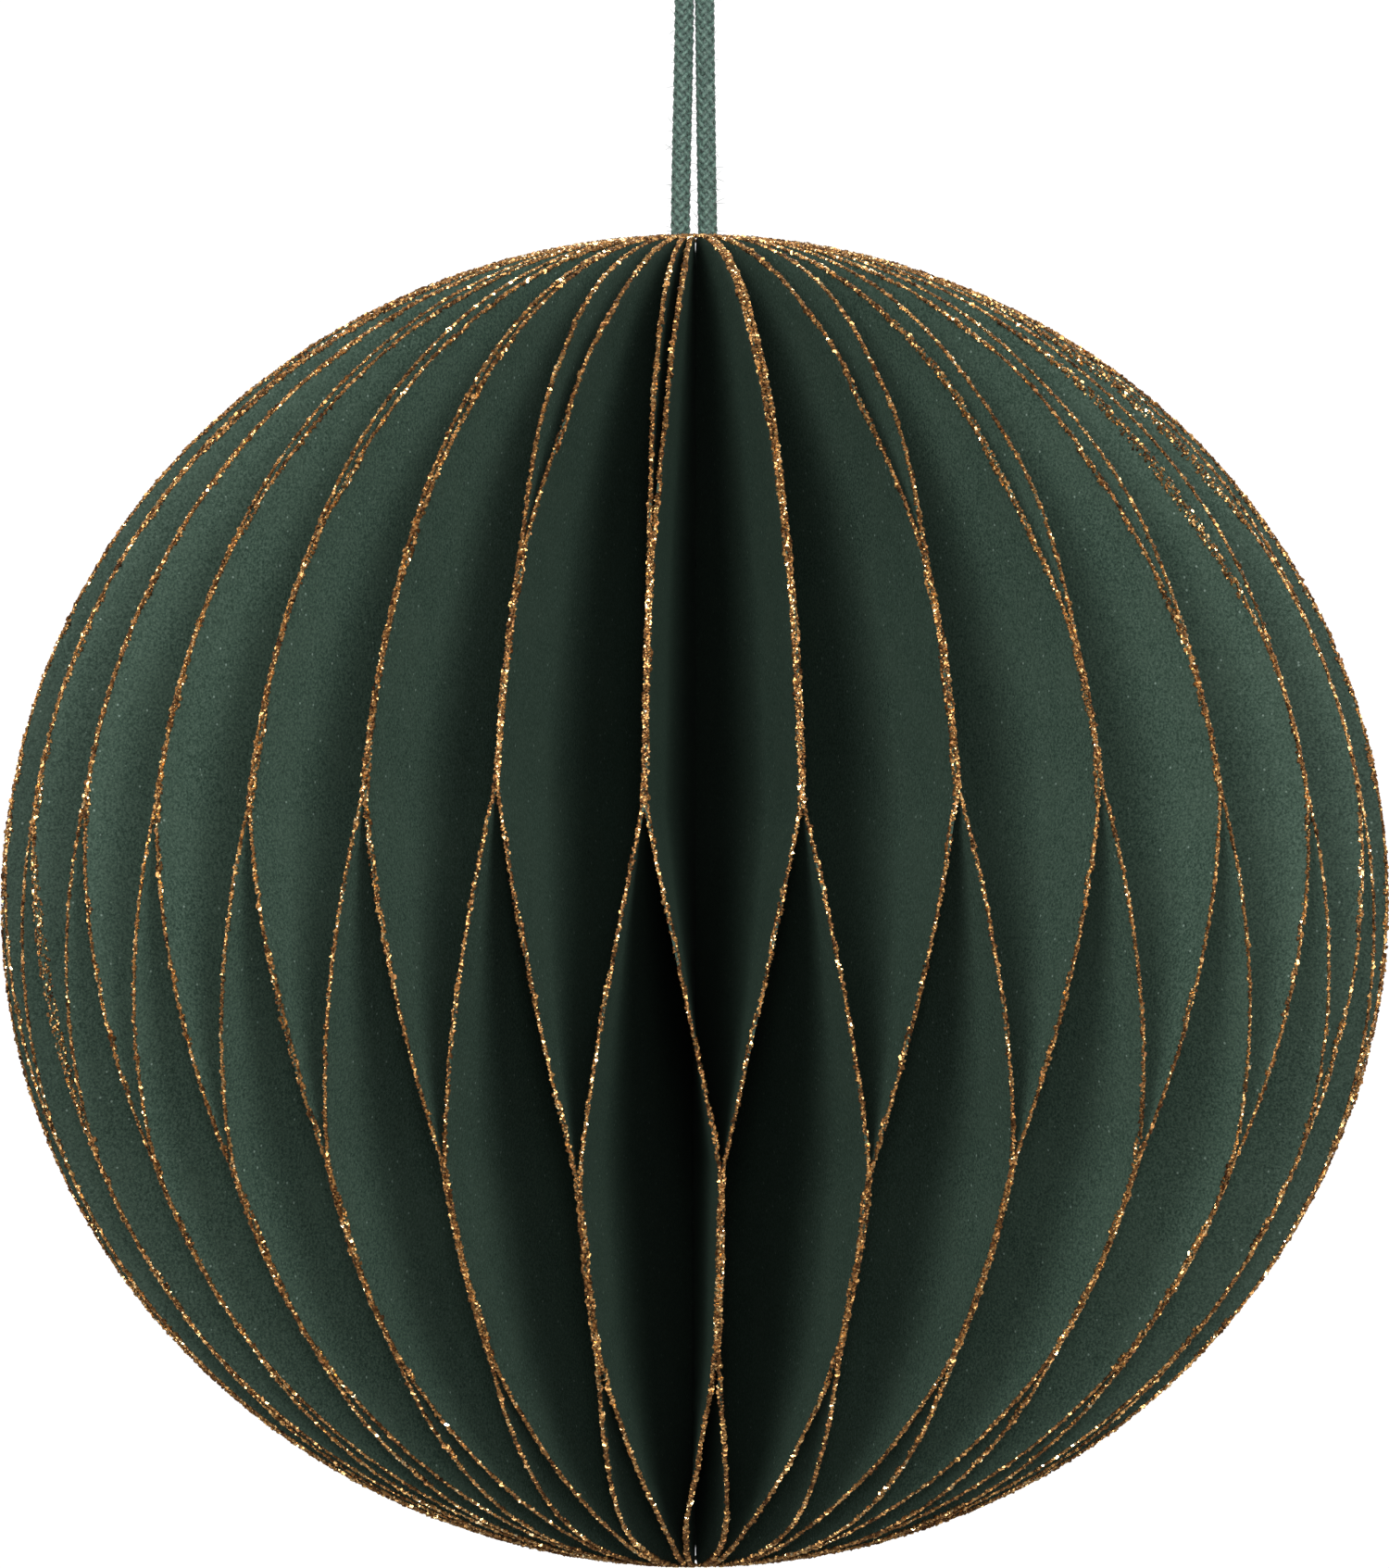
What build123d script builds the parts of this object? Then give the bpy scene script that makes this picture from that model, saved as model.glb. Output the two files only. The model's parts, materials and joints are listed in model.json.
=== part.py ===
from build123d import *
import math
import os

# Paper honeycomb ball that hangs on a doubled cord.  Millimetres, +Z up.
# The origin is where a hook bears on the inner top of the cord's eye.  The ball
# hangs below it, the front of the ball faces -Y, and the two covers meet at +Y.
# An azimuth is measured in plan from -Y, growing towards +X.

# ---------------------------------------------------------------- sizes
BALL_WIDTH = 150.0       # across the fan of leaves
BALL_HEIGHT = 144.0      # along the spine
PAIRS = 30               # pairs of leaves round the spine
PAPER = 0.28             # one leaf
GLUE = 0.02              # film between two leaves
BOARD = 0.80             # cover board
CORNER_R = 1.5           # rounding of a leaf's two corners at the spine
SEAM_UP = 11.5           # lower end of the upper glue seam, above mid-height
SEAM_DOWN = -27.5        # upper end of the lower glue seam, above mid-height
HANG_DROP = 80.0         # from the hook down to the top of the ball

MAGNET_D = 6.0
MAGNET_T = 0.60
MAGNET_RIM = 11.0        # from a magnet's centre in to the board's curved rim
MAGNET_HEIGHTS = (-42.0, 0.0, 42.0)
POCKET_GAP = 0.05        # round a magnet, and behind it
CREASE_GAP = 0.30        # from the facing leaf's crease to the board's edge
CREASE_SPRING = 0.01     # share of its turn that a crease keeps where it is glued flat

CORD_D = 2.1
KNOT_WIDTH = 6.4
KNOT_HEIGHT = 8.4
KNOT_Z = -49.0           # centre of the knot, below the hook

# How the leaves share the full turn.  They are not spread evenly: two slow waves
# open the fan in some places and crowd it in others, in degrees.
COVER_EXTRA = 3.0        # what the two covers add to the cell between them
SPREAD_START = 3.9
SPREAD_ONCE = (1.9, 129.0)    # height and phase of the wave that goes round once
SPREAD_TWICE = (3.5, -66.0)   # height and phase of the wave that goes round twice

# The doubled cord, from one glued tail up round the eye and down to the other.
CORD_ROUTE = [
    (-1.50, 0.10, -101.0),
    (-1.60, 0.00, -88.0),
    (-1.50, -0.15, -74.0),
    (-1.12, 0.00, -59.0),
    (-1.10, 0.25, -48.0),
    (-5.00, 0.50, -35.5),
    (-8.10, 0.20, -23.0),
    (-8.90, -0.40, -10.5),
    (-5.20, -0.50, 1.05),
    (5.20, 0.30, 1.05),
    (9.10, 0.60, -10.0),
    (8.00, 0.20, -22.5),
    (4.70, -0.40, -35.0),
    (1.10, -0.25, -48.0),
    (1.12, 0.00, -59.0),
    (1.35, 0.15, -74.0),
    (1.55, 0.00, -88.0),
    (1.45, -0.10, -101.0),
]

# ---------------------------------------------------------------- worked out
LEAF = PAPER + GLUE                      # what one leaf takes in the folded pack
RIM_R = BALL_WIDTH / 2
HALF_HEIGHT = BALL_HEIGHT / 2
MID_Z = -HANG_DROP - HALF_HEIGHT         # the ball's middle
TRIM_Z = HALF_HEIGHT + 1.0               # a leaf is lofted this far, then trimmed
REACH = RIM_R + 2.0                      # a sheet is drawn this far out, then trimmed


def spread(share):
    """Azimuth of a leaf pair from its even share of the turn, both in degrees."""
    once = SPREAD_ONCE[0] * math.sin(math.radians(share + SPREAD_ONCE[1]))
    twice = SPREAD_TWICE[0] * math.sin(math.radians(2 * share + SPREAD_TWICE[1]))
    return share + SPREAD_START + once + twice


EVEN_STEP = (360.0 - COVER_EXTRA) / PAIRS
FIRST_SHARE = -EVEN_STEP * (PAIRS - 1) / 2
AZIMUTHS = [spread(FIRST_SHARE + EVEN_STEP * k) for k in range(PAIRS)]
COVER_HALF = (AZIMUTHS[0] + 360.0 - AZIMUTHS[-1]) / 2   # last pair to the covers' plane
STEPS = [AZIMUTHS[k + 1] - AZIMUTHS[k] for k in range(PAIRS - 1)]


def pivot_of(angle, pack):
    """Plan position, along and aside of a plane, of the line about which a plane
    at this angle folds down to lie at the distance `pack` beside it."""
    return pack / (2 * math.tan(math.radians(angle / 2))), pack / 2


CELL_PACK = 2 * LEAF                     # two leaves lie between two pair planes
COVER_PACK = 2 * LEAF + BOARD            # a leaf, the facing leaf and the board
COVER_PIVOT = pivot_of(COVER_HALF, COVER_PACK)


def in_plan(azimuth, along, aside):
    """A point in plan, from its distance along an azimuth and aside of it."""
    turn = math.radians(azimuth)
    x = along * math.sin(turn) + aside * math.cos(turn)
    y = aside * math.sin(turn) - along * math.cos(turn)
    return x, y


def turned(point, pivot, angle):
    """A local (along, aside) point turned about a pivot, in degrees."""
    turn = math.radians(angle)
    along, aside = point[0] - pivot[0], point[1] - pivot[1]
    return (
        pivot[0] + along * math.cos(turn) - aside * math.sin(turn),
        pivot[1] + along * math.sin(turn) + aside * math.cos(turn),
    )


def strip(azimuth, side, start, low, high, pivot, angle):
    """Corners in plan of a thin sheet beside an azimuth, between the offsets low
    and high.  It starts at the spine, and past the pivot it is turned away."""
    outer = [turned(point, pivot, angle) for point in ((REACH, low), (REACH, high))]
    knee = [turned((pivot[0], edge), pivot, angle) for edge in (low, high)]
    corners = [knee[0], outer[0], outer[1], knee[1]]
    if start < pivot[0] - CREASE_GAP:
        corners = [(start, low)] + corners + [(start, high)]
    return [in_plan(azimuth, along, side * aside) for along, aside in corners]


# ---------------------------------------------------------------- the cut outline
# Every leaf and board is cut to one half-oval.  Turned about the spine it is the
# solid that all the sheets are trimmed to.
SPINE_R = CELL_PACK / 2 / math.tan(math.radians(max(STEPS) / 2))
with BuildPart() as oval:
    with BuildSketch(Plane.XZ) as half_oval:
        with Locations((0, MID_Z)):
            Ellipse(RIM_R, HALF_HEIGHT)
        with Locations((SPINE_R, MID_Z)):
            Rectangle(
                RIM_R,
                BALL_HEIGHT,
                align=(Align.MIN, Align.CENTER),
                mode=Mode.INTERSECT,
            )
        fillet(half_oval.vertices().group_by(Axis.X)[0], CORNER_R)
    revolve(axis=Axis.Z)

os.makedirs("parts", exist_ok=True)


def write(name, piece):
    piece.part.label = name
    export_step(piece.part, f"parts/{name}.step")
    print(f"{name}: {len(piece.part.solids())} solids, {piece.part.volume:.1f} mm3")


# ---------------------------------------------------------------- leaf pairs
# A pair is two leaves glued face to face along the upper seam.  Below that each
# leaf swings out to the lower seam, where it is glued to the next pair's leaf.
# A leaf beside a cover is creased where the board's edge begins.
def leaf_levels(azimuth, side, start, pivot, angle, least):
    """Sections of one leaf: straight down to the upper seam's end, then turned
    by the whole angle from the lower seam down."""
    return [
        (z, strip(azimuth, side, start, GLUE / 2, LEAF - GLUE / 2, pivot, part * angle))
        for z, part in ((-TRIM_Z, 1), (SEAM_DOWN, 1), (SEAM_UP, least), (TRIM_Z, least))
    ]


for k in range(PAIRS):
    with BuildPart() as pair:
        for side, step in ((-1, k - 1), (1, k)):
            if 0 <= step < PAIRS - 1:
                angle = STEPS[step] / 2
                pivot = (LEAF / math.tan(math.radians(angle)), LEAF)
                start = pivot[0]
                least = 0
            else:
                angle = COVER_HALF
                pivot = COVER_PIVOT
                start = SPINE_R
                least = CREASE_SPRING
            levels = leaf_levels(AZIMUTHS[k], side, start, pivot, angle, least)
            for z, corners in levels:
                with BuildSketch(Plane.XY.offset(MID_Z + z)):
                    Polygon(*corners, align=None)
            loft(ruled=True)
        add(oval.part, mode=Mode.INTERSECT)
    write(f"leaf_pair_{k + 1:02d}", pair)

# ---------------------------------------------------------------- covers
# Each end of the fan is a board faced with one more leaf, which is creased at
# the board's edge and bound into the spine.  Magnets sit in the boards' backs,
# which meet when the ball is open.
def magnet_mouths(azimuth, side):
    """Planes on a board's back, one at each magnet's middle, that face into it."""
    mouths = []
    for z in MAGNET_HEIGHTS:
        along = RIM_R * math.sqrt(1 - (z / HALF_HEIGHT) ** 2) - MAGNET_RIM
        seat = in_plan(azimuth, along, -side * GLUE / 2)
        inwards = in_plan(azimuth, 0, -side)
        mouths.append(Plane(origin=(*seat, MID_Z + z), z_dir=(*inwards, 0)))
    return mouths


for name, k, side in (("left", 0, -1), ("right", PAIRS - 1, 1)):
    azimuth = AZIMUTHS[k]
    facing_start = CELL_PACK / math.sin(math.radians(COVER_HALF)) + CREASE_GAP
    with BuildPart() as facing:
        with BuildSketch(Plane.XY.offset(MID_Z - TRIM_Z)):
            corners = strip(
                azimuth,
                side,
                facing_start,
                LEAF + GLUE / 2,
                2 * LEAF - GLUE / 2,
                COVER_PIVOT,
                COVER_HALF,
            )
            Polygon(*corners, align=None)
        extrude(amount=2 * TRIM_Z)
        add(oval.part, mode=Mode.INTERSECT)
    write(f"facing_leaf_{name}", facing)

    back_azimuth = azimuth + side * COVER_HALF
    edge_along = COVER_PIVOT[0] + CREASE_GAP
    mouths = magnet_mouths(back_azimuth, side)
    with BuildPart() as board:
        with BuildSketch(Plane.XY.offset(MID_Z - TRIM_Z)):
            corners = [
                in_plan(back_azimuth, along, -side * aside)
                for along, aside in (
                    (edge_along, GLUE / 2),
                    (REACH, GLUE / 2),
                    (REACH, BOARD),
                    (edge_along, BOARD),
                )
            ]
            Polygon(*corners, align=None)
        extrude(amount=2 * TRIM_Z)
        add(oval.part, mode=Mode.INTERSECT)
        for mouth in mouths:
            with BuildSketch(mouth):
                Circle(MAGNET_D / 2 + POCKET_GAP)
            extrude(amount=MAGNET_T + POCKET_GAP, mode=Mode.SUBTRACT)
    write(f"cover_board_{name}", board)

    with BuildPart() as magnets:
        for mouth in mouths:
            with BuildSketch(mouth):
                Circle(MAGNET_D / 2)
            extrude(amount=MAGNET_T)
    write(f"magnets_{name}", magnets)

# ---------------------------------------------------------------- the cord
# One length of braided cord, doubled: both tails are glued down the hollow spine,
# the knot holds the strands together, and the eye above it goes over a hook.
BEND_SHARE = 0.45        # of the shorter run beside a bend, taken up by its arc
runs = [Vector(*b) - Vector(*a) for a, b in zip(CORD_ROUTE, CORD_ROUTE[1:])]
bends = []
for before, after in zip(runs, runs[1:]):
    half_turn = math.radians(before.get_angle(after) / 2)
    bends.append(BEND_SHARE * min(before.length, after.length) / math.tan(half_turn))
print("cord bend radii:", [round(radius, 1) for radius in bends])

with BuildPart() as cord:
    with BuildLine() as route:
        FilletPolyline(*CORD_ROUTE, radius=bends)
    with BuildSketch(Plane(origin=route.line @ 0, z_dir=route.line % 0)):
        Circle(CORD_D / 2)
    sweep()
cord_length = sum(edge.length for edge in route.edges())
section = math.pi * CORD_D**2 / 4
print(f"cord: {cord_length:.1f} mm long, volume over section x length",
      f"{cord.part.volume / (section * cord_length):.4f}")
write("hanging_cord", cord)

with BuildPart() as knot:
    with BuildSketch(Plane.XZ):
        with Locations((0, KNOT_Z)):
            Ellipse(KNOT_WIDTH / 2, KNOT_HEIGHT / 2)
        with Locations((0, KNOT_Z)):
            Rectangle(
                KNOT_WIDTH,
                KNOT_HEIGHT,
                align=(Align.MIN, Align.CENTER),
                mode=Mode.INTERSECT,
            )
    revolve(axis=Axis.Z)
write("cord_knot", knot)
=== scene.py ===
import json
import math
import random

import bmesh
import bpy
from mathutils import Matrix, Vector

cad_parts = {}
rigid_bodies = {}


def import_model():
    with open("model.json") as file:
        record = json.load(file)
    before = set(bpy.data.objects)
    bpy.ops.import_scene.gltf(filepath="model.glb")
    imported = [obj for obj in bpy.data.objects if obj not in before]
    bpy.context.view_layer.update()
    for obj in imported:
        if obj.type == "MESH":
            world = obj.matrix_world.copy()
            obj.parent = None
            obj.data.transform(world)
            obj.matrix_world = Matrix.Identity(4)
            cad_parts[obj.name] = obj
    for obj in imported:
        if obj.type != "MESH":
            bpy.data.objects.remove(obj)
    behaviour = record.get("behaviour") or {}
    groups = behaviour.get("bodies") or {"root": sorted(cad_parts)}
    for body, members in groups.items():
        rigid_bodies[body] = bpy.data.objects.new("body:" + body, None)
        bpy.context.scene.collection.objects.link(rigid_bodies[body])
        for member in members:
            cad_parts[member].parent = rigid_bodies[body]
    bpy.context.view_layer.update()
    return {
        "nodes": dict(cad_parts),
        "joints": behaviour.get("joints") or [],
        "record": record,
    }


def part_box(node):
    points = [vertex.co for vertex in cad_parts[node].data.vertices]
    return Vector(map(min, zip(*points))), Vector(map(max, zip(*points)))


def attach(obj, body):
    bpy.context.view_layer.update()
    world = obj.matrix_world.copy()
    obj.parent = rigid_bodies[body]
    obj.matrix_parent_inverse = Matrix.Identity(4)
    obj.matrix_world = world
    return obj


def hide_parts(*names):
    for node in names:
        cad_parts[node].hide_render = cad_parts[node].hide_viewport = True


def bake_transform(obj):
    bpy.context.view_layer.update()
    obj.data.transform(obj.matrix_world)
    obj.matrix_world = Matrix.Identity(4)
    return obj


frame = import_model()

# ---------------------------------------------------------------- studio
# The ball hangs in a white surround, above a round pale floor.  The camera is level,
# with a long lens.  A soft light stands at each side of it, with a small one between
# for the glints, and weaker ones stand beside and behind the ball.
MM = 0.001
scene = bpy.context.scene
leaf_low, leaf_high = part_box("leaf_pair_15")
ball_middle = Vector((0, 0, (leaf_low.z + leaf_high.z) / 2))
BALL_R = 75 * MM
CAMERA_AWAY = 12.5 * BALL_R
CAMERA_UP = 12.6 * MM
LENS = 198
FLOOR_DROP = 1200 * MM
FLOOR_R = 1200 * MM

scene.view_settings.view_transform = "Standard"
camera_data = bpy.data.cameras.new("camera")
camera_data.lens = LENS
camera_data.clip_start = 0.05
camera = bpy.data.objects.new("camera", camera_data)
camera.location = ball_middle + Vector((0, -CAMERA_AWAY, CAMERA_UP))
camera.rotation_euler = (math.radians(90), 0, 0)
scene.collection.objects.link(camera)
scene.camera = camera


def soft_light(name, place, width, height, watts):
    """A soft box that faces the ball from a place in metres beside its middle."""
    data = bpy.data.lights.new(name, "AREA")
    data.shape = "RECTANGLE"
    data.size, data.size_y, data.energy = width, height, watts
    lamp = bpy.data.objects.new(name, data)
    lamp.location = ball_middle + Vector(place)
    lamp.rotation_euler = (-Vector(place)).to_track_quat("-Z", "Y").to_euler()
    scene.collection.objects.link(lamp)
    return lamp


soft_light("front_left", (-0.44, -1.25, 0.48), 0.48, 0.80, 14.5)
soft_light("front_right", (0.48, -1.25, 0.48), 0.48, 0.80, 14.5)
soft_light("front_spark", (0.02, -1.30, 0.22), 0.11, 0.11, 3.2)
soft_light("glint", (0.02, -1.30, 0.16), 0.30, 0.30, 17).visible_diffuse = False
soft_light("left_light", (-1.25, 0.25, 0.35), 0.5, 0.7, 7)
soft_light("right_light", (1.25, 0.25, 0.35), 0.5, 0.7, 7)
soft_light("back_light", (0.20, 1.30, 0.50), 1.2, 0.9, 15)


class Wire:
    """A node's output.  Arithmetic on it adds Math nodes to its tree, and node()
    adds any other node."""

    def __init__(self, tree, socket=None):
        self.tree, self.socket = tree, socket

    def node(self, kind, settings=(), sockets=(), output=0):
        made = self.tree.nodes.new(kind)
        for name, value in dict(settings).items():
            if name == "stops":
                stops = made.color_ramp.elements
                stops.remove(stops[1])
                stops[0].position = value[0][0]
                for place, _ in value[1:]:
                    stops.new(place)
                for stop, (_, colour) in zip(stops, value):
                    stop.color = (*colour, 1)
            else:
                setattr(made, name, value)
        for name, value in dict(sockets).items():
            if isinstance(value, Wire):
                self.tree.links.new(value.socket, made.inputs[name])
            else:
                made.inputs[name].default_value = value
        return Wire(self.tree, made.outputs[output])

    def maths(self, operation, first, second=0.0):
        return self.node("ShaderNodeMath", {"operation": operation}, {0: first, 1: second})

    def __add__(self, other):
        return self.maths("ADD", self, other)

    def __radd__(self, other):
        return self.maths("ADD", other, self)

    def __sub__(self, other):
        return self.maths("SUBTRACT", self, other)

    def __rsub__(self, other):
        return self.maths("SUBTRACT", other, self)

    def __mul__(self, other):
        return self.maths("MULTIPLY", self, other)

    def __rmul__(self, other):
        return self.maths("MULTIPLY", other, self)

    def __truediv__(self, other):
        return self.maths("DIVIDE", self, other)

    def __rtruediv__(self, other):
        return self.maths("DIVIDE", other, self)

    def sin(self):
        return self.maths("SINE", self)

    def cos(self):
        return self.maths("COSINE", self)

    def ease(self, start, end):
        """0 before start and 1 after end, with a smooth step between."""
        settings = {"interpolation_type": "SMOOTHSTEP"}
        sockets = {"Value": self, "From Min": start, "From Max": end}
        return self.node("ShaderNodeMapRange", settings, sockets)

    def split(self):
        parts = self.node("ShaderNodeSeparateXYZ", (), {0: self}).socket.node
        return [Wire(self.tree, socket) for socket in parts.outputs]

    def vector(self, x=0.0, y=0.0, z=0.0):
        return self.node("ShaderNodeCombineXYZ", (), {0: x, 1: y, 2: z})

    def noise(self, where, scale, detail, roughness):
        sockets = {"Vector": where, "Scale": scale, "Detail": detail, "Roughness": roughness}
        return self.node("ShaderNodeTexNoise", (), sockets)

    def ramp(self, *stops):
        return self.node("ShaderNodeValToRGB", {"stops": stops}, {0: self})

    def blend(self, first, second):
        """Two colours mixed, with this value as the share of the second."""
        colours = {0: self, 6: first, 7: second}
        return self.node("ShaderNodeMix", {"data_type": "RGBA"}, colours, 2)


def new_material(name):
    """An empty node material: its shader node, and a wire to build on."""
    material = bpy.data.materials.new(name)
    material.use_nodes = True
    tree = material.node_tree
    shader = next(n for n in tree.nodes if n.type == "BSDF_PRINCIPLED")
    return material, shader, Wire(tree)


def feed(wire, shader, socket):
    wire.tree.links.new(wire.socket, shader.inputs[socket])


surround = bpy.data.worlds.new("surround")
surround.use_nodes = True
scene.world = surround
wire = Wire(surround.node_tree)
rays = wire.node("ShaderNodeLightPath").socket.node.outputs
seen, mirrored = Wire(wire.tree, rays["Is Camera Ray"]), Wire(wire.tree, rays["Is Glossy Ray"])
background = next(n for n in surround.node_tree.nodes if n.type == "BACKGROUND")
background.inputs["Color"].default_value = (1, 1, 1, 1)
feed(0.012 + seen * 1.1 + mirrored * 0.17, background, "Strength")

floor_mesh = bpy.data.meshes.new("floor")
disc = bmesh.new()
bmesh.ops.create_circle(disc, cap_ends=True, segments=96, radius=FLOOR_R)
bmesh.ops.translate(disc, verts=disc.verts, vec=ball_middle - Vector((0, 0, FLOOR_DROP)))
disc.to_mesh(floor_mesh)
disc.free()
material, shader, wire = new_material("pale_floor")
shader.inputs["Base Color"].default_value = (0.80, 0.80, 0.79, 1)
shader.inputs["Roughness"].default_value = 0.7
floor_mesh.materials.append(material)
floor = bpy.data.objects.new("floor", floor_mesh)
scene.collection.objects.link(floor)

# ---------------------------------------------------------------- hanging cord
# One length of soft braided polyester cord, doubled.  Its tails are glued down the
# hollow spine, and its eye goes over a hook.  Ten yarns cross over and under round a
# core, and loose fibres stand off them.
CORD_ROUTE = [
    (-1.50, 0.10, -101.0),
    (-1.60, 0.00, -88.0),
    (-1.50, -0.15, -74.0),
    (-1.12, 0.00, -59.0),
    (-1.10, 0.25, -48.0),
    (-5.00, 0.50, -35.5),
    (-8.10, 0.20, -23.0),
    (-8.90, -0.40, -10.5),
    (-5.20, -0.50, 1.05),
    (5.20, 0.30, 1.05),
    (9.10, 0.60, -10.0),
    (8.00, 0.20, -22.5),
    (4.70, -0.40, -35.0),
    (1.10, -0.25, -48.0),
    (1.12, 0.00, -59.0),
    (1.35, 0.15, -74.0),
    (1.55, 0.00, -88.0),
    (1.45, -0.10, -101.0),
]
YARNS = 10
YARN_R = 0.27 * MM
YARN_RING = 0.78 * MM
YARN_WAVE = 0.07 * MM
YARN_TURN = 6.4 * MM
YARN_STEP = 0.27 * MM
FIBRES_PER_MM = 12
FIBRE_OUT = 1.12 * MM
FIBRE_LENGTH = 1.0 * MM
FIBRE_ROOT_R = 0.030 * MM
FIBRE_TIP_R = 0.012 * MM


def nurbs_line(name, points):
    """The smooth line through a cord's route, as a mesh of edges."""
    curve = bpy.data.curves.new(name, "CURVE")
    curve.dimensions = "3D"
    spline = curve.splines.new("NURBS")
    spline.points.add(len(points) - 1)
    for point, place in zip(spline.points, points):
        point.co = (*(Vector(place) * MM), 1)
    spline.order_u = 3
    spline.use_endpoint_u = True
    spline.resolution_u = 12
    route = bpy.data.objects.new(name, curve)
    scene.collection.objects.link(route)
    bpy.context.view_layer.update()
    line = bpy.data.meshes.new_from_object(route)
    bpy.data.objects.remove(route)
    return line


def node_tree(name, sizes):
    """An empty Geometry Nodes tree with named inputs, and a wire for each input."""
    tree = bpy.data.node_groups.new(name, "GeometryNodeTree")
    face = tree.interface
    face.new_socket("Geometry", in_out="INPUT", socket_type="NodeSocketGeometry")
    face.new_socket("Geometry", in_out="OUTPUT", socket_type="NodeSocketGeometry")
    for label, value in sizes.items():
        kind = "Int" if isinstance(value, int) else "Float"
        socket = face.new_socket(label, in_out="INPUT", socket_type=f"NodeSocket{kind}")
        socket.default_value = value
    face.new_socket("Finish", in_out="INPUT", socket_type="NodeSocketMaterial")
    group = tree.nodes.new("NodeGroupInput")
    return tree, {s.name: Wire(tree, s) for s in group.outputs if s.name}


def finish_tree(shape, given):
    """Ends a tree: its instances made real, and its finish set."""
    real = shape.node("GeometryNodeRealizeInstances", (), {0: shape})
    sockets = {"Geometry": real, "Material": given["Finish"]}
    painted = real.node("GeometryNodeSetMaterial", (), sockets)
    end = shape.tree.nodes.new("NodeGroupOutput")
    shape.tree.links.new(painted.socket, end.inputs[0])


def grown(tree, name, finish, sizes, line=None):
    """The plain mesh that a tree makes with these sizes."""
    seed_mesh = line or bpy.data.meshes.new(name)
    piece = bpy.data.objects.new(name, seed_mesh)
    scene.collection.objects.link(piece)
    modifier = piece.modifiers.new(name, "NODES")
    modifier.node_group = tree
    values = {**sizes, "Finish": finish}
    for item in tree.interface.items_tree:
        if item.in_out == "INPUT" and item.name in values:
            modifier[item.identifier] = values[item.name]
    bpy.context.view_layer.update()
    ready = piece.evaluated_get(bpy.context.evaluated_depsgraph_get())
    mesh = bpy.data.meshes.new_from_object(ready)
    bpy.data.objects.remove(piece)
    mesh.name = name
    return mesh


braid, given = node_tree("braid", {
    "Yarns": YARNS, "Yarn Radius": YARN_R, "Ring Radius": YARN_RING,
    "Wave": YARN_WAVE, "Turn": YARN_TURN, "Step": YARN_STEP, "Fibres per mm": FIBRES_PER_MM,
})
wire = given["Geometry"]
path = wire.node("GeometryNodeMeshToCurve", (), {0: wire})
fine = wire.node("GeometryNodeResampleCurve", {"mode": "LENGTH"},
                 {"Curve": path, "Length": given["Step"]})
copies = wire.node("GeometryNodeDuplicateElements", {"domain": "SPLINE"},
                   {"Geometry": fine, "Amount": given["Yarns"]})
number = Wire(wire.tree, copies.socket.node.outputs["Duplicate Index"])
half = wire.maths("FLOOR", number / 2)
way = 1 - 2 * wire.maths("MODULO", number, 2)
along = wire.node("GeometryNodeSplineParameter", output="Length")
turns = along / given["Turn"]
angle = math.tau * (way * turns + half / (given["Yarns"] / 2))
over = way * (given["Yarns"] / 2 * turns * math.tau).cos()
lift = given["Ring Radius"] + given["Wave"] * over
normal = wire.node("GeometryNodeInputNormal")
tangent = wire.node("GeometryNodeInputTangent")
across = wire.node("ShaderNodeVectorMath", {"operation": "CROSS_PRODUCT"},
                   {0: tangent, 1: normal})
sideways = wire.node("ShaderNodeVectorMath", {"operation": "SCALE"},
                     {0: normal, "Scale": lift * angle.cos()})
upwards = wire.node("ShaderNodeVectorMath", {"operation": "SCALE"},
                    {0: across, "Scale": lift * angle.sin()})
offset = wire.node("ShaderNodeVectorMath", {"operation": "ADD"},
                   {0: sideways, 1: upwards})
# The yarn's over-and-under wave is kept as an attribute, so that the cord's material can paint
# shade where a yarn dips under and a highlight where it rides over.
marked = wire.node("GeometryNodeStoreNamedAttribute", {"data_type": "FLOAT"},
                   {"Geometry": copies, "Name": "over", "Value": over})
wound = wire.node("GeometryNodeSetPosition", (), {"Geometry": marked, "Offset": offset})
section = wire.node("GeometryNodeCurvePrimitiveCircle", {"mode": "RADIUS"},
                    {"Resolution": 6, "Radius": given["Yarn Radius"]})
yarns = wire.node("GeometryNodeCurveToMesh", (),
                  {"Curve": wound, "Profile Curve": section, "Fill Caps": True})
core_section = wire.node("GeometryNodeCurvePrimitiveCircle", {"mode": "RADIUS"},
                         {"Resolution": 8, "Radius": given["Ring Radius"]})
core = wire.node("GeometryNodeCurveToMesh", (),
                 {"Curve": path, "Profile Curve": core_section, "Fill Caps": True})
roots = wire.node("GeometryNodeCurveToPoints", {"mode": "LENGTH"},
                  {"Curve": fine, "Length": MM / given["Fibres per mm"]})
loose = wire.node("FunctionNodeRandomValue", {"data_type": "FLOAT_VECTOR"},
                  {"Min": (-1, -1, -1), "Max": (1, 1, 1), "Seed": 5})
loose = wire.node("ShaderNodeVectorMath", {"operation": "NORMALIZE"}, {0: loose})
stand_off = wire.node("ShaderNodeVectorMath", {"operation": "SCALE"},
                      {0: loose, "Scale": FIBRE_OUT})
roots = wire.node("GeometryNodeSetPosition", (), {"Geometry": roots, "Offset": stand_off})
hair = wire.node("GeometryNodeMeshCone", (),
                 {"Vertices": 3, "Radius Top": FIBRE_TIP_R, "Radius Bottom": FIBRE_ROOT_R,
                  "Depth": FIBRE_LENGTH})
lean = wire.node("FunctionNodeRandomValue", {"data_type": "FLOAT_VECTOR"},
                 {"Min": (0, 0, 0), "Max": (math.tau, math.tau, math.tau), "Seed": 6})
length = wire.node("FunctionNodeRandomValue", {"data_type": "FLOAT"},
                   {"Min": 0.5, "Max": 1.3, "Seed": 7}, output=1)
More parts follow.
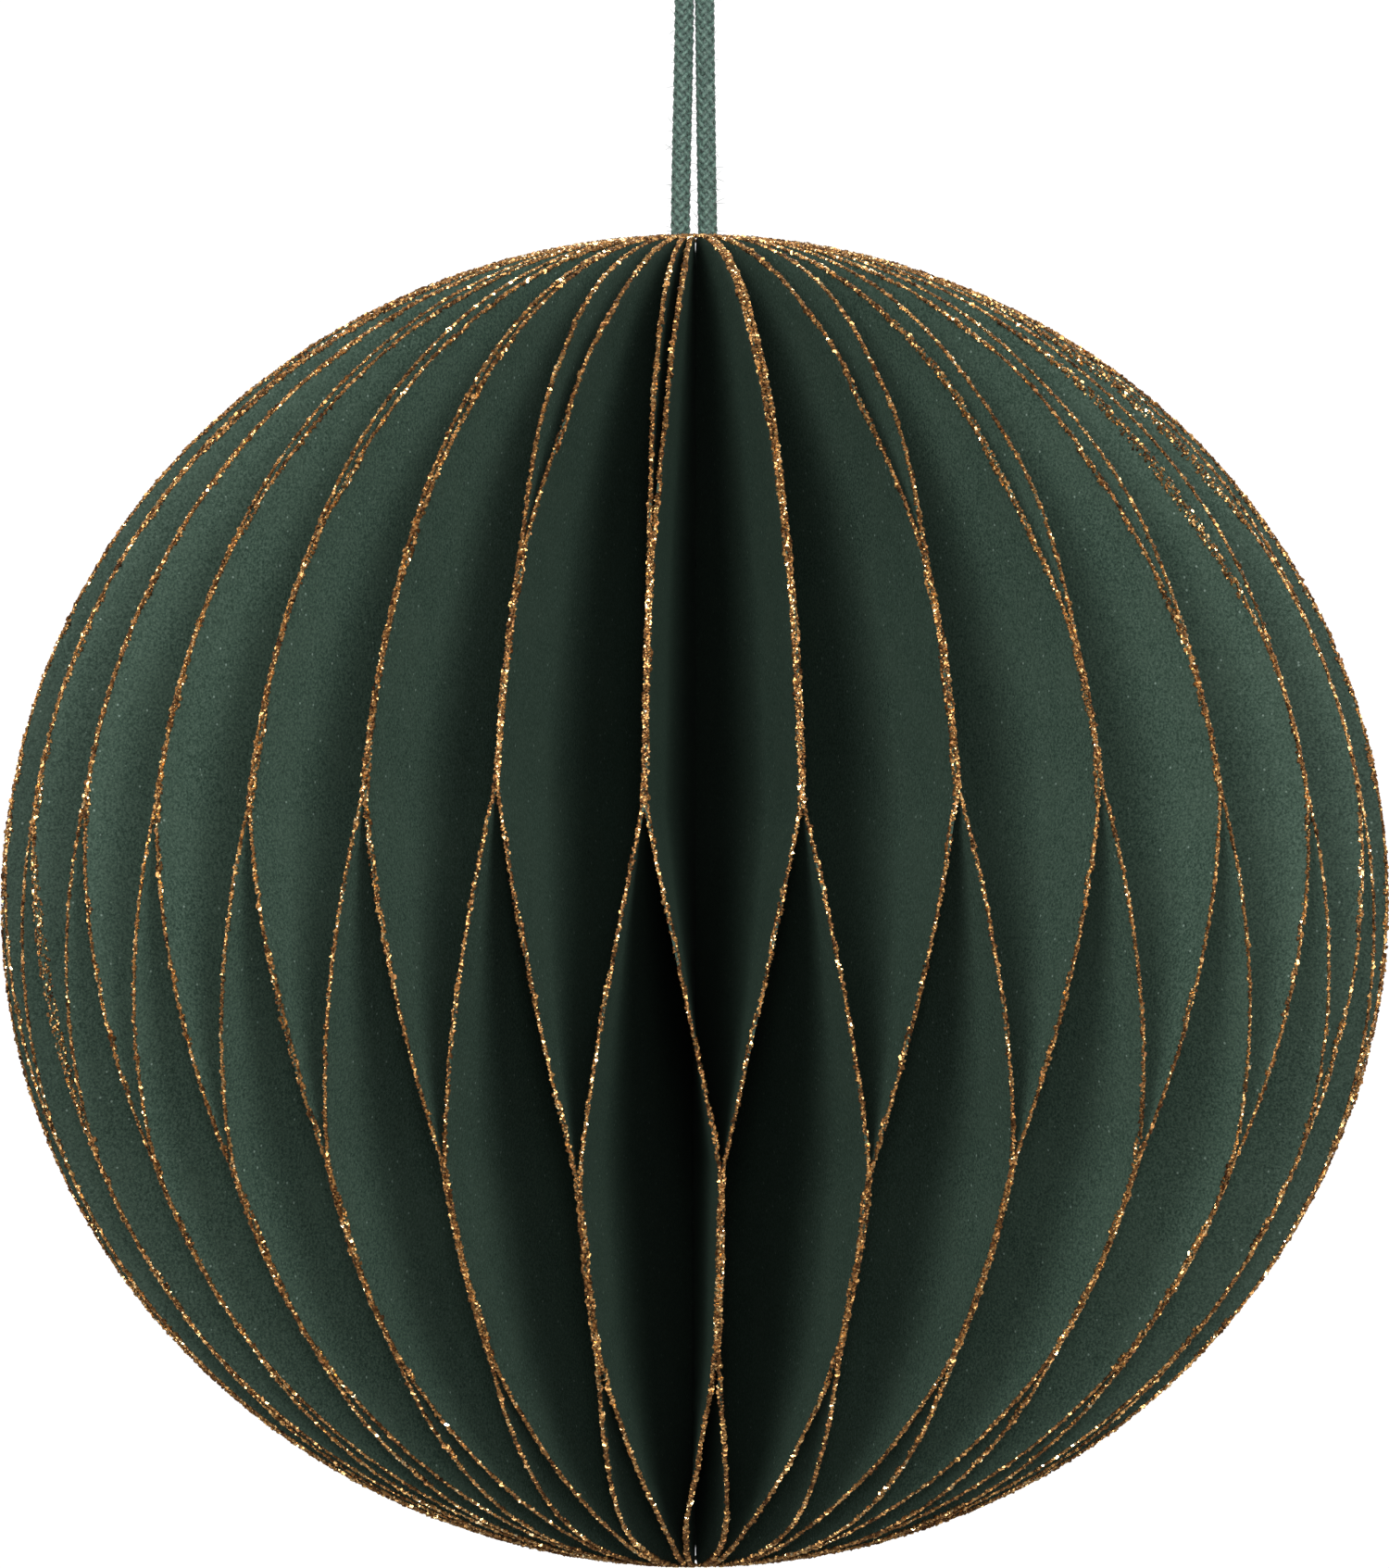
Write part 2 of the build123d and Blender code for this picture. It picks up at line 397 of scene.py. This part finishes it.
fuzz = wire.node("GeometryNodeInstanceOnPoints", (),
                 {"Points": roots, "Instance": hair, "Rotation": lean,
                  "Scale": wire.vector(1.0, 1.0, length)})
everything = wire.node("GeometryNodeJoinGeometry")
for part in (yarns, core, fuzz):
    wire.tree.links.new(part.socket, everything.socket.node.inputs[0])
finish_tree(everything, given)

cord_green, shader, wire = new_material("cord_green")
place = wire.node("ShaderNodeTexCoord", output="Object")
lint = wire.noise(place, 900, 3, 0.6)
shade = wire.noise(place, 3500, 2, 0.6)
# Painted shade and highlight: a yarn is painted darker where it dips under its neighbours and
# lighter where it rides over them, on top of the random tone of the noise.
over = wire.node("ShaderNodeAttribute", {"attribute_name": "over"}, output="Fac")
stitch_tone_and_painted_shade = shade * 0.7 + over * 0.17 + 0.12
colour = stitch_tone_and_painted_shade.ramp((0.25, (0.009, 0.026, 0.021)), (0.50, (0.032, 0.076, 0.058)),
                     (0.72, (0.105, 0.190, 0.150)))
colour = (lint.ease(0.58, 0.70) * 0.30).blend(colour, (0.20, 0.30, 0.25, 1))
feed(colour, shader, "Base Color")
feed(0.78 - lint * 0.15, shader, "Roughness")
shader.inputs["Sheen Weight"].default_value = 0.15
bump = wire.node("ShaderNodeBump", (), {"Strength": 0.5, "Distance": 0.05 * MM,
                                        "Height": shade})
feed(bump, shader, "Normal")

cord_line = nurbs_line("cord_line", CORD_ROUTE)


def linked(name, mesh):
    piece = bpy.data.objects.new(name, mesh)
    scene.collection.objects.link(piece)
    return piece


braided_cord = linked("braided_cord", grown(braid, "braided_cord", cord_green, {}, cord_line))
for face in braided_cord.data.polygons:
    face.use_smooth = True

# ---------------------------------------------------------------- knot
# The strands are bound below the eye by a tight knot of the same cord, wound round
# them three times.
KNOT_Z = -49.0
KNOT_TURNS = 3
KNOT_RING = 2.1
KNOT_FLAT = 0.9
KNOT_PITCH = 2.15
END_TUCK = 0.55
STEPS = 12
knot_route = []
for step in range(KNOT_TURNS * STEPS + 1):
    turn = math.tau * step / STEPS
    ring = KNOT_RING * (END_TUCK if step in (0, KNOT_TURNS * STEPS) else 1)
    height = KNOT_Z + KNOT_PITCH * (step / STEPS - KNOT_TURNS / 2)
    knot_route.append((ring * math.cos(turn), KNOT_FLAT * ring * math.sin(turn), height))
knot_line = nurbs_line("knot_line", knot_route)
knot = linked("knot_wraps", grown(braid, "knot_wraps", cord_green, {}, knot_line))
for face in knot.data.polygons:
    face.use_smooth = True
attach(knot, "middle")
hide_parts("cord_knot")
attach(braided_cord, "middle")
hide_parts("hanging_cord")

# ---------------------------------------------------------------- paper leaves
# Thirty pairs of half-oval paper leaves stand round the spine.  The two leaves of a
# pair are glued together above, and each is glued to its neighbour's leaf below, so
# the paper opens in cells.  A piece is one cell: the leaves on its two sides.
HALF_H = 72 * MM
PAPER = 0.26 * MM
LEAF = 0.30 * MM
CORNER_R = 1.5 * MM
END_Z = 71.85 * MM
PAIRS = 30
COLUMNS = 11
ROWS = 60
ROWS_BELOW = 20
ROWS_SEAM = 16
CELL_PACK = 2 * LEAF
BOARD = 0.80 * MM
COVER_PACK = CELL_PACK + BOARD
SEAM_UP = 11.5
SEAM_DOWN = -27.5
PART_USUAL = 34.0

# The ball is glued by hand, so each seam ends a little off its usual height, and the
# leaves part beyond the seams by more or less.  The front pairs are set one by one.
hand = random.Random(7)
up_shift = [hand.uniform(-1.8, 1.3) for _ in range(PAIRS)]
down_shift = [hand.uniform(-0.4, 2.8) for _ in range(PAIRS + 1)]
part_above = [max(0.04, hand.uniform(-0.2, 0.6)) for _ in range(PAIRS)]
part_below = [hand.uniform(0.8, 1.0) for _ in range(PAIRS + 1)]
part_above[12:21] = 0.14, 0.60, 0.25, 0.04, 0.65, 0.50, 0.45, 0.60, 0.60
part_from = [PART_USUAL] * PAIRS
part_from[17:21] = 25.0, 25.0, 22.0, 26.0

joint_of = {frozenset((j["parent"], j["child"])): j for j in frame["joints"]}
rate = {c["joint"]: c["ratio"] for c in frame["record"]["behaviour"]["couplings"]}
rate["fold_flat"] = 1.0
full_fold = math.radians(
    next(j for j in frame["joints"] if j["name"] == "fold_flat")["range_deg"][1])
body_of = ["cover_left"] + [f"fan_{k:02d}" for k in range(1, PAIRS + 1)] + ["cover_right"]
body_of[15] = "middle"

# Every cell's own angle comes from its joint, and its azimuth from the joint's place.
cells = []
for k in range(PAIRS + 1):
    joint = joint_of[frozenset((body_of[k], body_of[k + 1]))]
    x, y, _ = joint["pos_m"]
    cells.append({"pitch": full_fold * rate[joint["name"]], "azimuth": math.atan2(x, -y)})
pair_azimuth = [None] + [cells[k]["azimuth"] - cells[k]["pitch"] / 2 for k in range(1, PAIRS)]
pair_azimuth.append(cells[PAIRS - 1]["azimuth"] + cells[PAIRS - 1]["pitch"] / 2)

LEAF_SIZES = {
    "Azimuth": 0.0, "Side": 1.0, "Turn": 0.1, "Pivot Along": 0.0028, "Pivot Aside": LEAF,
    "Start": 0.0028, "Crease": 0.005, "Hinge": 0.0, "Aside": LEAF / 2,
    "Seam Up": SEAM_UP * MM, "Seam Down": SEAM_DOWN * MM, "Part Above": 0.0,
    "Part From": PART_USUAL * MM, "Part Below": 0.0, "Least": 0.0,
    "Middle": ball_middle.z, "Seed": 1,
}


def opened(given, height):
    """The share of its full turn that a leaf has at a height: none where its pair is
    glued, all where it is glued to its neighbour."""
    wire = height
    seam = wire.node("ShaderNodeMapRange", (), {
        "Value": height, "From Min": given["Seam Up"], "From Max": given["Seam Down"],
        "To Min": given["Least"]})
    above = (height.ease(given["Part From"], given["Part From"] + 22 * MM) * 0.45
             + height.ease(54 * MM, 71 * MM) * 0.55)
    below = (1 - height.ease(-60 * MM, -45 * MM) * 0.35
             - height.ease(-71 * MM, -56 * MM) * 0.65)
    return seam + above * given["Part Above"] - below * given["Part Below"]


def folded(given, along, aside, height, share):
    """Where a point of the flat leaf comes to when the leaf is turned."""
    free = along.maths("GREATER_THAN", along, given["Hinge"])
    turn = given["Turn"] * share * free
    forth, off = along - given["Pivot Along"], aside - given["Pivot Aside"]
    out = given["Pivot Along"] + forth * turn.cos() - off * turn.sin()
    to_side = (given["Pivot Aside"] + forth * turn.sin() + off * turn.cos()) * given["Side"]
    facing_x, facing_y = given["Azimuth"].sin(), given["Azimuth"].cos()
    return along.vector(out * facing_x + to_side * facing_y,
                        to_side * facing_x - out * facing_y,
                        height + given["Middle"])


def marked_shape(shape, name, value):
    """The shape with a number kept on each of its points."""
    settings = {"data_type": "FLOAT", "domain": "POINT"}
    return shape.node("GeometryNodeStoreNamedAttribute", settings,
                      {"Geometry": shape, "Name": name, "Value": value})


leaf_tree, given = node_tree("paper_leaf", LEAF_SIZES)
wire = given["Geometry"]
sheet = wire.node("GeometryNodeMeshCube", (), {
    "Size": (1, 1, 1), "Vertices X": COLUMNS + 1, "Vertices Y": 2, "Vertices Z": ROWS + 1})
x, y, z = wire.node("GeometryNodeInputPosition").split()
low = wire.maths("MINIMUM", (z + 0.5) * (ROWS / ROWS_BELOW), 1.0)
mid = wire.node("ShaderNodeMapRange", (), {
    "Value": (z + 0.5) * ROWS, "From Min": ROWS_BELOW, "From Max": ROWS_BELOW + ROWS_SEAM})
high = wire.node("ShaderNodeMapRange", (), {
    "Value": (z + 0.5) * ROWS, "From Min": ROWS_BELOW + ROWS_SEAM, "From Max": ROWS})
height = (
    -END_Z
    + (given["Seam Down"] + END_Z) * (1 - (low * (math.pi / 2)).cos())
    + (given["Seam Up"] - given["Seam Down"]) * mid
    + (END_Z - given["Seam Up"]) * (high * (math.pi / 2)).sin()
)
rim = BALL_R * wire.maths("SQRT", 1 - wire.maths("POWER", height / HALF_H, 2.0))
corner = wire.maths("MAXIMUM", wire.maths("ABSOLUTE", height) - (END_Z - CORNER_R), 0.0)
inner = given["Start"] + CORNER_R - wire.maths(
    "SQRT", wire.maths("MAXIMUM", CORNER_R**2 - corner * corner, 0.0))
knee = wire.maths("MINIMUM", given["Crease"], (inner + rim) / 2)
column = (x + 0.5) * COLUMNS
along = (inner + (knee - inner) * wire.maths("MINIMUM", column, 1.0)
         + (rim - knee) * wire.node("ShaderNodeMapRange", (), {
             "Value": column, "From Min": 1.0, "From Max": COLUMNS}))
aside = given["Aside"] + PAPER * y * given["Side"]
share = opened(given, height)
moves = share * along.maths("GREATER_THAN", along, given["Hinge"])
sheet = marked_shape(sheet, "share", moves)
sheet = wire.node("GeometryNodeSetPosition", (), {
    "Geometry": sheet, "Position": folded(given, along, aside, height, share)})
finish_tree(sheet, given)

leaf_paper, shader, wire = new_material("green_leaf_paper")
place = wire.node("ShaderNodeTexCoord", output="Object")
grain = wire.noise(place, 3600, 4, 0.72)
cloud = wire.noise(place, 160, 3, 0.6)
colour = grain.ramp((0.34, (0.014, 0.028, 0.020)), (0.50, (0.037, 0.066, 0.048)),
                    (0.66, (0.074, 0.112, 0.086)))
colour = (cloud.ease(0.35, 0.75) * 0.30).blend(colour, (0.052, 0.082, 0.060, 1))
speck = wire.node("ShaderNodeTexVoronoi", (), {"Vector": place, "Scale": 600})
speck = 1 - speck.ease(0.05, 0.10)
colour = (speck * 0.55).blend(colour, (0.26, 0.34, 0.29, 1))
feed(colour, shader, "Base Color")
feed(0.62 + grain * 0.16, shader, "Roughness")
shader.inputs["Specular IOR Level"].default_value = 0.08
bump = wire.node("ShaderNodeBump", (), {"Strength": 0.5, "Distance": 0.05 * MM,
                                        "Height": grain})
feed(bump, shader, "Normal")


def leaf_sizes(pair, side):
    """The sizes of the leaf on one side of a pair."""
    cell = pair if side > 0 else pair - 1
    pitch = cells[cell]["pitch"]
    sizes = {
        "Azimuth": pair_azimuth[pair], "Side": float(side),
        "Seam Up": (SEAM_UP + up_shift[pair - 1]) * MM,
        "Seam Down": (SEAM_DOWN + down_shift[cell]) * MM,
        "Part Above": part_above[pair - 1], "Part Below": part_below[cell],
        "Part From": part_from[pair - 1] * MM,
        "Seed": 100 * pair + 10 * (side > 0), "Middle": ball_middle.z,
    }
    if cell in (0, PAIRS):
        pivot = COVER_PACK / 2 / math.tan(pitch / 2)
        sizes.update({"Turn": pitch, "Pivot Along": pivot, "Pivot Aside": COVER_PACK / 2,
                      "Start": 2.65 * MM, "Crease": pivot, "Hinge": pivot - 0.01 * MM,
                      "Least": 0.01, "Part Below": 0.0})
    else:
        pivot = LEAF / math.tan(pitch / 2)
        sizes.update({"Turn": pitch / 2, "Pivot Along": pivot, "Start": pivot,
                      "Crease": pivot + 2 * MM})
    return sizes


def facing_sizes(cell):
    """The sizes of the leaf that faces a cover board."""
    pair, side = (1, -1) if cell == 0 else (PAIRS, 1)
    sizes = leaf_sizes(pair, side)
    start = CELL_PACK / math.sin(cells[cell]["pitch"]) + 0.3 * MM
    sizes.update({"Start": start, "Aside": 1.5 * LEAF, "Least": 1.0, "Part Above": 0.0,
                  "Seed": 9000 + cell})
    return sizes


def together(name, meshes, shares):
    """One mesh from several, and how far each of its points follows the second body."""
    joined = bmesh.new()
    follow = []
    for mesh, (first, scale) in zip(meshes, shares):
        values = [0.0] * len(mesh.vertices)
        mesh.attributes["share"].data.foreach_get("value", values)
        follow += [first + scale * value for value in values]
        joined.from_mesh(mesh)
    whole = bpy.data.meshes.new(name)
    joined.to_mesh(whole)
    joined.free()
    for material in meshes[0].materials:
        whole.materials.append(material)
    for mesh in meshes:
        bpy.data.meshes.remove(mesh)
    return whole, follow


def cell_piece(name, cell, tree, finish, smooth, runs=()):
    """A piece on both sides of a cell.  Runs are the extra sizes of single leaves, by pair and
    side."""
    own = dict(runs)
    recipes, shares = [], []
    if cell > 0:
        recipes.append({**leaf_sizes(cell, 1), **own.get((cell, 1), {})})
        shares.append((0.0, 1.0 if cell == PAIRS else 0.5))
    if cell == PAIRS:
        recipes.append(facing_sizes(cell))
        shares.append((0.0, 1.0))
    if cell == 0:
        recipes.append(facing_sizes(cell))
        shares.append((1.0, -1.0))
    if cell < PAIRS:
        recipes.append({**leaf_sizes(cell + 1, -1), **own.get((cell + 1, -1), {})})
        shares.append((1.0, -1.0 if cell == 0 else -0.5))
    meshes = [grown(tree, name, finish, sizes) for sizes in recipes]
    mesh, follow = together(name, meshes, shares)
    for face in mesh.polygons:
        face.use_smooth = smooth
    if smooth:
        mesh.set_sharp_from_angle(angle=math.radians(30))
    piece = linked(name, mesh)
    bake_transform(piece)
    return piece


for cell in range(PAIRS + 1):
    leaves = cell_piece(f"leaves_{cell:02d}", cell, leaf_tree, leaf_paper, True)
    if cell == 0:
        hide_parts("facing_leaf_left")
    elif cell == PAIRS:
        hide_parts("facing_leaf_right", f"leaf_pair_{cell:02d}")
    else:
        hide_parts(f"leaf_pair_{cell:02d}")

# ---------------------------------------------------------------- glitter
# The curved edge of every leaf is dipped in glue and coarse metal glitter: small
# flakes of copper and gold that lie mostly flat on the edge, thick in places and
# thin in others, and run over the face of a few leaves.
GRAINS = 3000
GRAIN_R = 0.215 * MM
SWING_END = 1.525
THICK_LEAST, THICK_CLUMP, THICK_CLOT = 0.13 * MM, 0.16 * MM, 0.30 * MM
BESIDE_LEAST, BESIDE_MOST = -0.13 * MM, 0.30 * MM
COAT_LEAST, COAT_CLUMP = 0.10 * MM, 0.35 * MM
FACE_FROM = 0.10 * MM
FACE_OUT = PAPER / 2 + 0.02 * MM
SMEARS = {
    (9, 1): {"Smear At": -8 * MM, "Smear Half": 16 * MM, "Smear Wide": 0.9 * MM},
    (18, -1): {"Smear At": 52 * MM, "Smear Half": 14 * MM, "Smear Wide": 0.8 * MM},
    (20, -1): {"Smear At": 46 * MM, "Smear Half": 17 * MM, "Smear Wide": 1.1 * MM},
    (21, -1): {"Smear At": 52 * MM, "Smear Half": 14 * MM, "Smear Wide": 1.0 * MM},
}

glitter_tree, given = node_tree("edge_glitter", {
    **LEAF_SIZES, "Smear At": 0.0, "Smear Half": 0.01, "Smear Wide": 0.0})
wire = given["Geometry"]


def chance(wire, seed, low=0.0, high=1.0):
    """An even random number for each point."""
    sockets = {"Min": low, "Max": high, "Seed": seed}
    return wire.node("FunctionNodeRandomValue", {"data_type": "FLOAT"}, sockets, output=1)


dots = wire.node("GeometryNodePoints", (), {"Count": GRAINS})
number = wire.node("GeometryNodeInputIndex")
seed = given["Seed"]
swing = SWING_END * (2 * (number + chance(wire, seed)) / GRAINS - 1)
height = HALF_H * swing.sin()
level_mm = height * 1000
clump = wire.noise(wire.vector(level_mm, seed * 3.7, 0.0), 0.16, 3, 0.6)
fine = wire.noise(wire.vector(level_mm, seed * 1.3, 9.0), 0.9, 2, 0.6)
shine = wire.noise(wire.vector(level_mm, seed * 2.1, 4.0), 0.22, 2, 0.5).ease(0.42, 0.62)
share = opened(given, height)
thick = (THICK_LEAST + THICK_CLUMP * clump.ease(0.45, 0.70)
         + THICK_CLOT * fine.ease(0.68, 0.74))
apart = wire.maths("ABSOLUTE", height - given["Smear At"])
smear = given["Smear Wide"] * (1 - apart.ease(0.3 * given["Smear Half"], given["Smear Half"]))
coat = COAT_LEAST + COAT_CLUMP * clump.ease(0.48, 0.72) + smear
inwards = coat * wire.maths("POWER", chance(wire, seed + 6), 1.6)
on_face = wire.maths("GREATER_THAN", inwards, FACE_FROM)
face_side = 1 - 2 * wire.maths("GREATER_THAN", share, 0.95)
beside = wire.node("ShaderNodeClamp", (), {
    "Value": thick * chance(wire, seed + 1, -1.0, 1.0), "Min": BESIDE_LEAST,
    "Max": BESIDE_MOST})
on_rim = 1 - on_face
aside = given["Aside"] + on_rim * beside + on_face * face_side * FACE_OUT
along = BALL_R * swing.cos() - inwards + chance(wire, seed + 2, 0.0, 0.16) * MM
moves = share * along.maths("GREATER_THAN", along, given["Hinge"])
dots = marked_shape(dots, "share", moves)
dots = marked_shape(dots, "tint", 0.74 * chance(wire, seed + 3) + 0.26 * shine)
dots = wire.node("GeometryNodeSetPosition", (), {
    "Geometry": dots, "Position": folded(given, along, aside, height, share)})
flake = wire.node("GeometryNodeMeshCone", (), {
    "Vertices": 3, "Radius Top": 0.75 * GRAIN_R, "Radius Bottom": GRAIN_R,
    "Depth": 0.8 * GRAIN_R})
sideways = on_face * face_side * given["Side"]
facing_x, facing_y = given["Azimuth"].sin(), given["Azimuth"].cos()
outward = wire.vector(on_rim * swing.cos() * facing_x + sideways * facing_y,
                      sideways * facing_x - on_rim * swing.cos() * facing_y,
                      on_rim * swing.sin())
level = wire.node("FunctionNodeAlignRotationToVector", {"axis": "Z"}, {"Vector": outward})
tilt = wire.node("FunctionNodeRandomValue", {"data_type": "FLOAT_VECTOR"}, {
    "Min": (-0.5, -0.5, 0.0), "Max": (0.5, 0.5, math.tau), "Seed": seed + 4})
tilt = wire.node("FunctionNodeEulerToRotation", (), {0: tilt})
lie = wire.node("FunctionNodeRotateRotation", {"rotation_space": "LOCAL"},
                {"Rotation": level, "Rotate By": tilt})
luck = chance(wire, seed + 5)
bulk = 0.60 + 0.40 * luck + 0.50 * luck.ease(0.88, 1.0) + 0.20 * fine.ease(0.4, 0.7)
grains = wire.node("GeometryNodeInstanceOnPoints", (), {
    "Points": dots, "Instance": flake, "Rotation": lie,
    "Scale": wire.vector(bulk, bulk * 0.85, bulk)})
finish_tree(grains, given)

glitter, shader, wire = new_material("copper_glitter")
tint = wire.node("ShaderNodeAttribute", {"attribute_name": "tint"}, output="Fac")
colour = tint.ramp((0.00, (0.050, 0.022, 0.011)), (0.40, (0.20, 0.094, 0.034)),
                   (0.68, (0.55, 0.31, 0.110)), (0.88, (0.92, 0.62, 0.290)),
                   (1.00, (1.00, 0.82, 0.520)))
feed(colour, shader, "Base Color")
shader.inputs["Metallic"].default_value = 1.0
feed(0.55 - 0.29 * tint.ease(0.50, 0.90), shader, "Roughness")

for cell in range(PAIRS + 1):
    cell_piece(f"glitter_{cell:02d}", cell, glitter_tree, glitter, False,
               SMEARS)

# ---------------------------------------------------------------- covers
# A cover is a stiff grey-cored board at each end of the fan, wrapped in the same
# green paper, with three steel-plated magnets let into its back.
board_finish, shader, wire = new_material("cover_board_paper")
place = wire.node("ShaderNodeTexCoord", output="Object")
grain = wire.noise(place, 4200, 3, 0.65)
cloud = wire.noise(place, 120, 3, 0.6)
colour = grain.ramp((0.25, (0.020, 0.038, 0.031)), (0.55, (0.036, 0.064, 0.053)),
                    (0.80, (0.058, 0.096, 0.081)))
colour = (cloud.ease(0.4, 0.8) * 0.3).blend(colour, (0.055, 0.090, 0.076, 1))
feed(colour, shader, "Base Color")
feed(0.58 + grain * 0.15, shader, "Roughness")
bump = wire.node("ShaderNodeBump", (), {"Strength": 0.35, "Distance": 0.03 * MM,
                                        "Height": grain})
feed(bump, shader, "Normal")

magnet_finish, shader, wire = new_material("plated_magnet")
place = wire.node("ShaderNodeTexCoord", output="Object")
scuff = wire.noise(place, 900, 3, 0.7)
feed(scuff.ramp((0.3, (0.46, 0.46, 0.47)), (0.7, (0.66, 0.66, 0.66))), shader, "Base Color")
shader.inputs["Metallic"].default_value = 1.0
feed(0.22 + scuff * 0.25, shader, "Roughness")

for side in ("left", "right"):
    for node, finish in ((f"cover_board_{side}", board_finish),
                         (f"magnets_{side}", magnet_finish)):
        mesh = frame["nodes"][node].data
        mesh.materials.clear()
        mesh.materials.append(finish)
